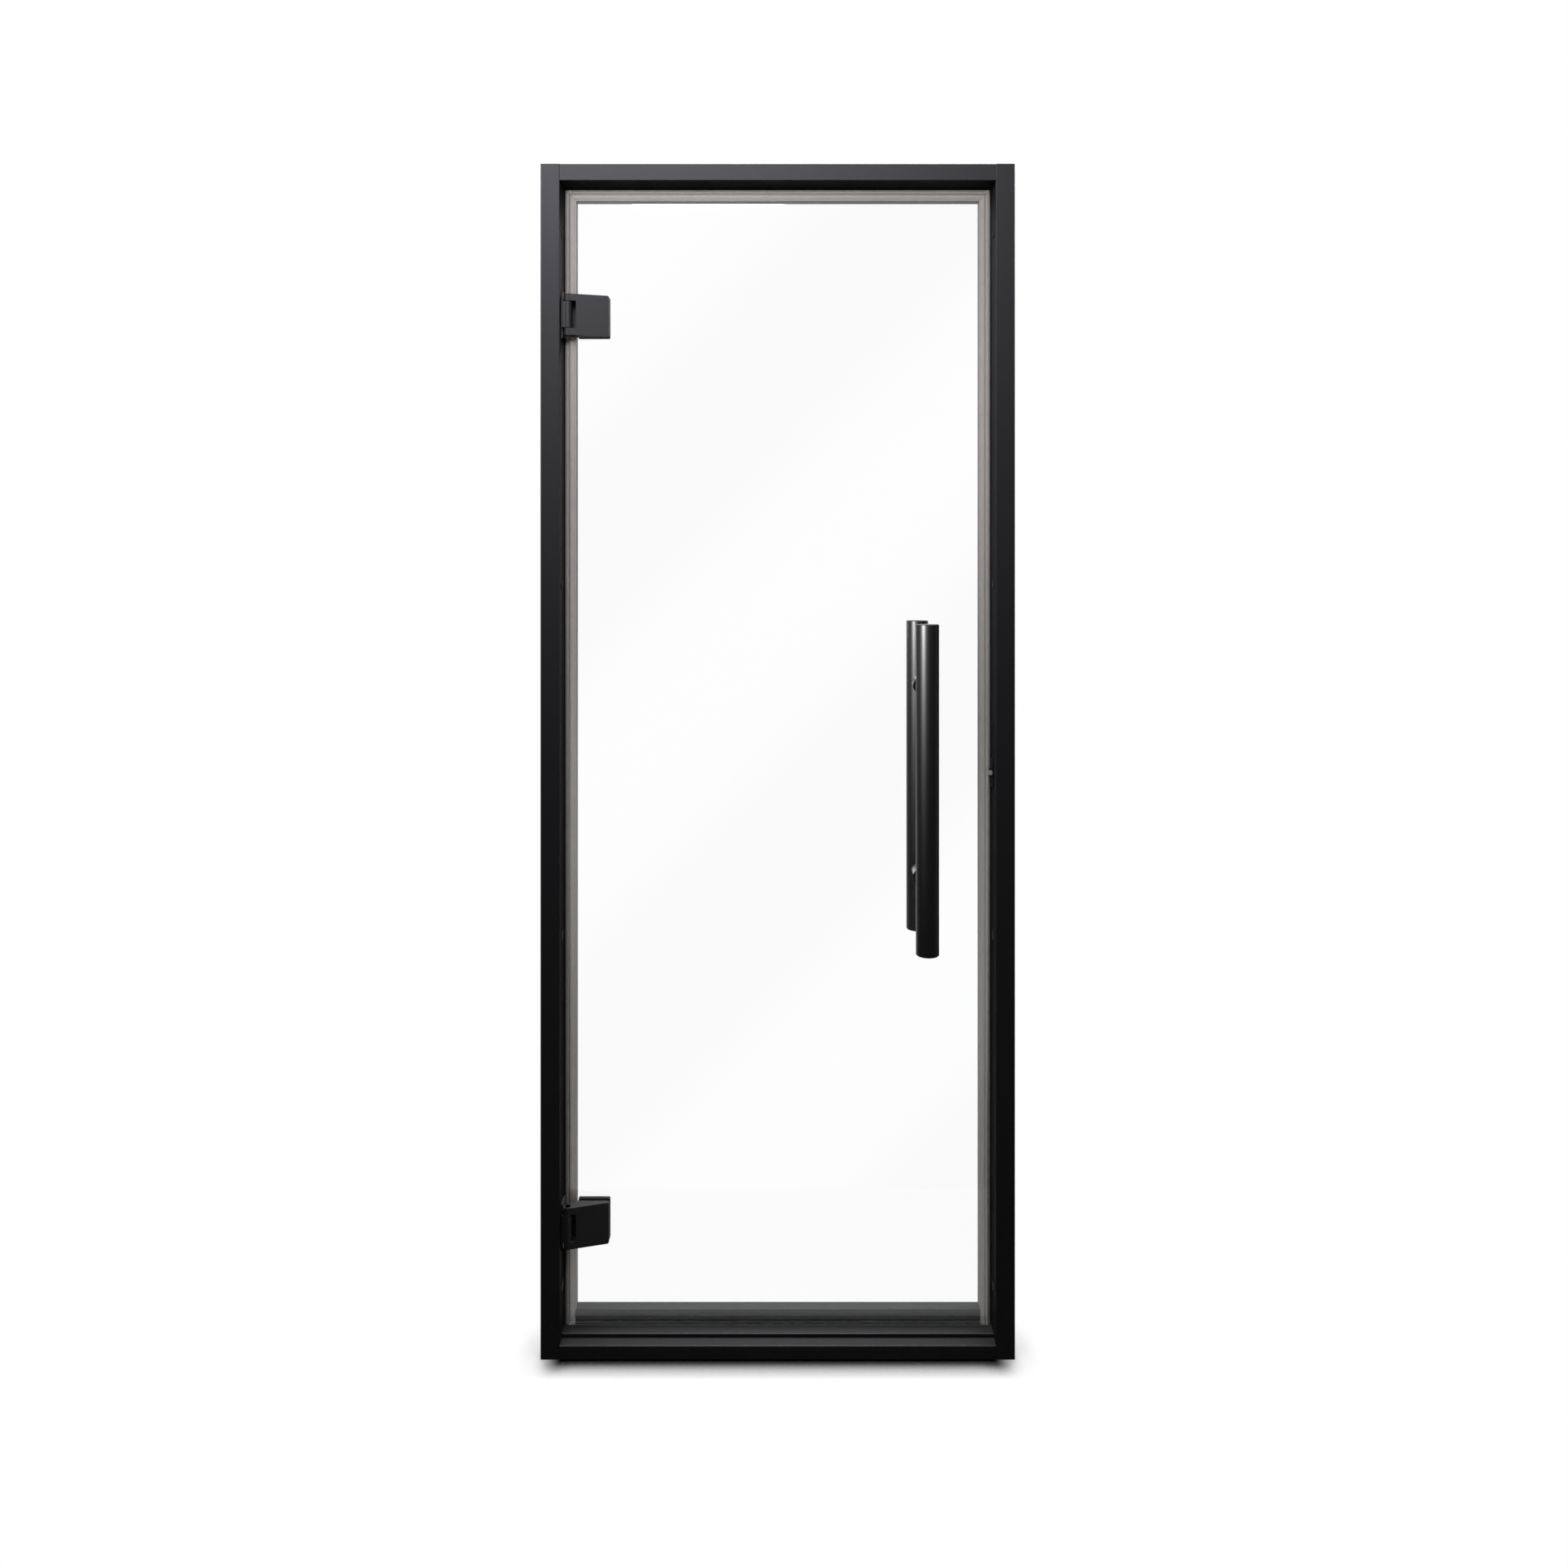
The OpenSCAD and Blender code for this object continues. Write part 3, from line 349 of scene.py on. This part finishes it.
# Turned nylon: off-white, waxy, with light passing a little way in.
nylon, tree, output = start_material("turned_white_nylon")
place = add(tree, "ShaderNodeTexCoord").outputs["Object"]
TURNING_MM = 0.7
turning = add(tree, "ShaderNodeTexNoise", [("Vector", place)], Scale=1000 / TURNING_MM, Detail=2.0)
rough = add(tree, "ShaderNodeMapRange", [("Value", turning.outputs["Fac"])], To_Min=0.35, To_Max=0.5)
shader = add(
    tree,
    "ShaderNodeBsdfPrincipled",
    [("Roughness", rough.outputs["Result"])],
    Base_Color=linear("#dcd9d2"),
    Subsurface_Weight=0.1,
    Subsurface_Scale=0.002,
)
tree.links.new(shader.outputs["BSDF"], output.inputs["Surface"])
finish_nodes(nylon, "stud_sleeves")


# Roller catch in the latch jamb: a blackened face plate with two screws, a moulded housing behind it,
# and a grey acetal roller on a sprung plunger that holds the closed glass by its edge.
# Moulded acetal is smooth and waxy, with faint flow marks of about 3 mm.
acetal, tree, output = start_material("moulded_grey_acetal")
place = add(tree, "ShaderNodeTexCoord").outputs["Object"]
FLOW_MM = 3.0
flow = add(tree, "ShaderNodeTexNoise", [("Vector", place)], Scale=1000 / FLOW_MM, Detail=3.0)
tint = add(tree, "ShaderNodeValToRGB", [("Fac", flow.outputs["Fac"])])
tint.color_ramp.elements[0].color = linear("#7d7d7b")
tint.color_ramp.elements[1].color = linear("#8e8e8b")
rough = add(tree, "ShaderNodeMapRange", [("Value", flow.outputs["Fac"])], To_Min=0.3, To_Max=0.42)
shader = add(
    tree,
    "ShaderNodeBsdfPrincipled",
    [("Base Color", tint.outputs["Color"]), ("Roughness", rough.outputs["Result"])],
    Specular_IOR_Level=0.5,
)
tree.links.new(shader.outputs["BSDF"], output.inputs["Surface"])
finish_nodes(acetal, "catch_roller")
finish_nodes(moulded, "catch_housing", "catch_plunger")
finish_nodes(black_oxide, "catch_plate", "catch_screws")
finish_nodes(zinc, "catch_spring", "roller_pin")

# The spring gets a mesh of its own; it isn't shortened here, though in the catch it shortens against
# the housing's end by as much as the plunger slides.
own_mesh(nodes["catch_spring"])


# Studio: a pale paper floor under the door, a white backdrop all round, and large soft lights high in
# front and behind. None of it belongs to the door.
bpy.ops.object.select_all(action="DESELECT")
FLOOR_WIDE, FLOOR_FRONT, FLOOR_BACK = 16.0, -0.46, 8.0
bpy.ops.mesh.primitive_plane_add(size=1, location=(0, (FLOOR_FRONT + FLOOR_BACK) / 2, 0))
floor = bpy.context.object
floor.name = "studio_floor"
floor.scale = (FLOOR_WIDE, FLOOR_BACK - FLOOR_FRONT, 1)
bpy.ops.object.transform_apply(location=True, rotation=True, scale=True)

# Paper is matt and pale. Where it is seen it is as white as the backdrop, apart from a painted contact
# shadow, and so is the part behind the door where the gloss shows it. The painted shadow follows the
# occlusion round the door's foot: it is deep along the foot and fades past its two ends.
paper, tree, output = start_material("white_studio_paper")
SHADOW_REACH, SHADOW_FULL, SHADOW_NONE, SHADOW_DEPTH = 0.045, 0.68, 0.97, 1.8
FADE_START, FADE_END, FADE_SHARE = 0.36, 0.41, 0.8
# Painted shadow: the occlusion near the door's foot darkens the white that the camera sees.
contact = add(tree, "ShaderNodeAmbientOcclusion", Distance=SHADOW_REACH, samples=8)
shade = add(
    tree,
    "ShaderNodeMapRange",
    [("Value", contact.outputs["AO"])],
    From_Min=SHADOW_FULL,
    From_Max=SHADOW_NONE,
)
deep = add(tree, "ShaderNodeMath", [(0, shade.outputs["Result"])], operation="POWER")
deep.inputs[1].default_value = SHADOW_DEPTH
path = add(tree, "ShaderNodeLightPath")
spot = add(tree, "ShaderNodeSeparateXYZ", [(0, add(tree, "ShaderNodeTexCoord").outputs["Object"])])
aside = add(tree, "ShaderNodeMath", [(0, spot.outputs["X"])], operation="ABSOLUTE")
# The painted shadow is lifted by position past the door's two ends.
fade = add(
    tree,
    "ShaderNodeMapRange",
    [("Value", aside.outputs["Value"])],
    interpolation_type="SMOOTHSTEP",
    From_Min=FADE_START,
    From_Max=FADE_END,
    To_Max=FADE_SHARE,
)
lift = add(tree, "ShaderNodeMix", [("Factor", fade.outputs["Result"]), ("A", deep.outputs["Value"])], B=1.0)
behind = add(tree, "ShaderNodeMath", [(0, spot.outputs["Y"])], operation="GREATER_THAN")
behind.inputs[1].default_value = 0.0
mirrored = add(
    tree,
    "ShaderNodeMath",
    [(0, path.outputs["Is Glossy Ray"]), (1, behind.outputs["Value"])],
    operation="MULTIPLY",
)
direct = add(
    tree,
    "ShaderNodeMath",
    [(0, path.outputs["Is Camera Ray"]), (1, path.outputs["Is Transmission Ray"])],
    operation="MAXIMUM",
)
seen = add(
    tree,
    "ShaderNodeMath",
    [(0, direct.outputs["Value"]), (1, mirrored.outputs["Value"])],
    operation="MAXIMUM",
)
sheet = add(tree, "ShaderNodeBsdfDiffuse", Color=linear("#e4e4e4"))
# The white's strength carries the painted shadow.
white = add(tree, "ShaderNodeEmission", [("Strength", lift.outputs["Result"])], Color=linear("#ffffff"))
mixed = add(tree, "ShaderNodeMixShader", [("Fac", seen.outputs["Value"])])
tree.links.new(sheet.outputs["BSDF"], mixed.inputs[1])
tree.links.new(white.outputs["Emission"], mixed.inputs[2])
tree.links.new(mixed.outputs["Shader"], output.inputs["Surface"])
floor.data.materials.append(paper)

# The room: white wherever it is seen or shows through glass. In the gloss of the door's front it is
# bright above and dark below, crossed by soft slanting bands from the studio's diffusers.
world = bpy.data.worlds.new("white_studio")
world.use_nodes = True
bpy.context.scene.world = world
tree = world.node_tree
tree.nodes.clear()
AMBIENT, FRONT_TOP, BAND_TOP = 0.04, 0.1, 0.8
FRONT_LOW, FRONT_HIGH = -0.45, 0.55
path = add(tree, "ShaderNodeLightPath")
toward = add(tree, "ShaderNodeSeparateXYZ", [(0, add(tree, "ShaderNodeTexCoord").outputs["Generated"])])
ahead = add(tree, "ShaderNodeMath", [(0, toward.outputs["Y"])], operation="ABSOLUTE")
rise = add(
    tree,
    "ShaderNodeMath",
    [(0, toward.outputs["Z"]), (1, ahead.outputs["Value"])],
    operation="DIVIDE",
)
across = add(
    tree,
    "ShaderNodeMath",
    [(0, toward.outputs["X"]), (1, ahead.outputs["Value"])],
    operation="DIVIDE",
)
height = add(
    tree,
    "ShaderNodeMapRange",
    [("Value", rise.outputs["Value"])],
    interpolation_type="SMOOTHSTEP",
    From_Min=FRONT_LOW,
    From_Max=FRONT_HIGH,
    To_Max=FRONT_TOP,
)
BANDS_PER_UNIT, BAND_START = 13.0, 0.96
slant = add(
    tree,
    "ShaderNodeMath",
    [(0, across.outputs["Value"]), (1, rise.outputs["Value"])],
    operation="SUBTRACT",
)
wave = add(tree, "ShaderNodeMath", [(0, slant.outputs["Value"])], operation="MULTIPLY_ADD")
wave.inputs[1].default_value, wave.inputs[2].default_value = BANDS_PER_UNIT, BAND_START
swell = add(tree, "ShaderNodeMath", [(0, wave.outputs["Value"])], operation="SINE")
band = add(
    tree,
    "ShaderNodeMapRange",
    [("Value", swell.outputs["Value"])],
    interpolation_type="SMOOTHSTEP",
    From_Min=-1.0,
    From_Max=1.0,
    To_Max=BAND_TOP,
)
front = add(
    tree,
    "ShaderNodeMath",
    [(0, height.outputs["Result"]), (1, band.outputs["Result"])],
    operation="ADD",
)
behind = add(tree, "ShaderNodeMath", [(0, toward.outputs["Y"])], operation="GREATER_THAN")
behind.inputs[1].default_value = 0.0
gloss = add(
    tree,
    "ShaderNodeMix",
    [("Factor", behind.outputs["Value"]), ("A", front.outputs["Value"])],
    B=1.0,
)
shown = add(
    tree,
    "ShaderNodeMath",
    [(0, path.outputs["Is Camera Ray"]), (1, path.outputs["Is Transmission Ray"])],
    operation="MAXIMUM",
)
level = add(
    tree,
    "ShaderNodeMix",
    [("Factor", path.outputs["Is Glossy Ray"]), ("B", gloss.outputs["Result"])],
    A=AMBIENT,
)
strength = add(
    tree,
    "ShaderNodeMix",
    [("Factor", shown.outputs["Value"]), ("A", level.outputs["Result"])],
    B=1.0,
)
background = add(
    tree,
    "ShaderNodeBackground",
    [("Strength", strength.outputs["Result"])],
    Color=linear("#ffffff"),
)
add(tree, "ShaderNodeOutputWorld", [("Surface", background.outputs["Background"])])


def soft_light(name, location, target, width, height, watts):
    """Adds an area lamp that is turned to a target."""
    bpy.ops.object.light_add(type="AREA", location=location)
    lamp = bpy.context.object
    lamp.name = name
    lamp.data.shape = "RECTANGLE"
    lamp.data.size, lamp.data.size_y = width, height
    lamp.data.energy = watts
    lamp.rotation_euler = (Vector(target) - Vector(location)).to_track_quat("-Z", "Y").to_euler()
    return lamp


# The front light models the pale pieces and isn't mirrored in the glass, and a weaker one stands behind.
front_softbox = soft_light("front_softbox", (-0.3, -1.1, 2.05), (0, 0, 1.9), 1.2, 0.4, 26)
front_softbox.visible_glossy = front_softbox.visible_transmission = False
soft_light("back_softbox", (0.3, 1.6, 2.9), (0, 0, 1.0), 1.8, 0.9, 8)


def gloss_light(lamp, *names):
    """Keeps a lamp to the gloss of the pieces named."""
    lamp.visible_camera = lamp.visible_diffuse = lamp.visible_transmission = False
    group = bpy.data.collections.new(lamp.name + "_pieces")
    for name in names:
        group.objects.link(nodes[name])
    lamp.light_linking.receiver_collection = group


# Brighter strips show only in the gloss of the black pieces: cool ones above on the frame and the hinges,
# in front, behind and at both sides, a narrow beam from the left on the pull bars' upper ends and one
# over the sill.
STRIP_WIDE, STRIP_DEEP, BAR_BEAM = 1.6, 0.7, 0.75
coated = [name for name in nodes if name.endswith(("_jamb", "_rail", "_bracket", "_clamp"))]
for name, location, watts in (
    ("front_strip", (-0.45, -1.2, 2.85), 460),
    ("back_strip", (0.45, 1.3, 2.85), 300),
    ("left_strip", (-1.8, 0.5, 2.6), 200),
    ("right_strip", (1.8, 0.5, 2.6), 200),
):
    strip = soft_light(name, location, (0, 0, 1.7), STRIP_WIDE, STRIP_DEEP, watts)
    strip.data.color = linear("#f8f6ff")[:3]
    gloss_light(strip, *coated)
bar_strip = soft_light("bar_strip", (-0.93, -1.15, 1.66), (0.245, -0.06, 1.44), 0.3, 0.35, 88)
bar_strip.data.spread = BAR_BEAM
gloss_light(bar_strip, "outer_bar", "inner_bar", "outer_bar_caps", "inner_bar_caps")
sill_strip = soft_light("sill_strip", (0, -0.02, 0.7), (0, -0.02, 0), 0.9, 0.1, 100)
gloss_light(sill_strip, "sill_rail", "lower_front_clamp", "lower_hinge_bracket")

# Camera: level and close to the door, a little above its middle, as the photograph was taken.
# The lens is shifted down, as the photograph's framing needs, so that the jambs stay parallel.
camera = bpy.data.cameras.new("camera")
camera.lens = 24.7
camera.shift_x, camera.shift_y = 0.004, -0.138
view = bpy.data.objects.new("camera", camera)
view.location = (0, -1.821, 1.318)
view.rotation_euler = (math.pi / 2, 0, 0)
bpy.context.scene.collection.objects.link(view)
bpy.context.scene.camera = view
bpy.context.scene.view_settings.view_transform = "Standard"
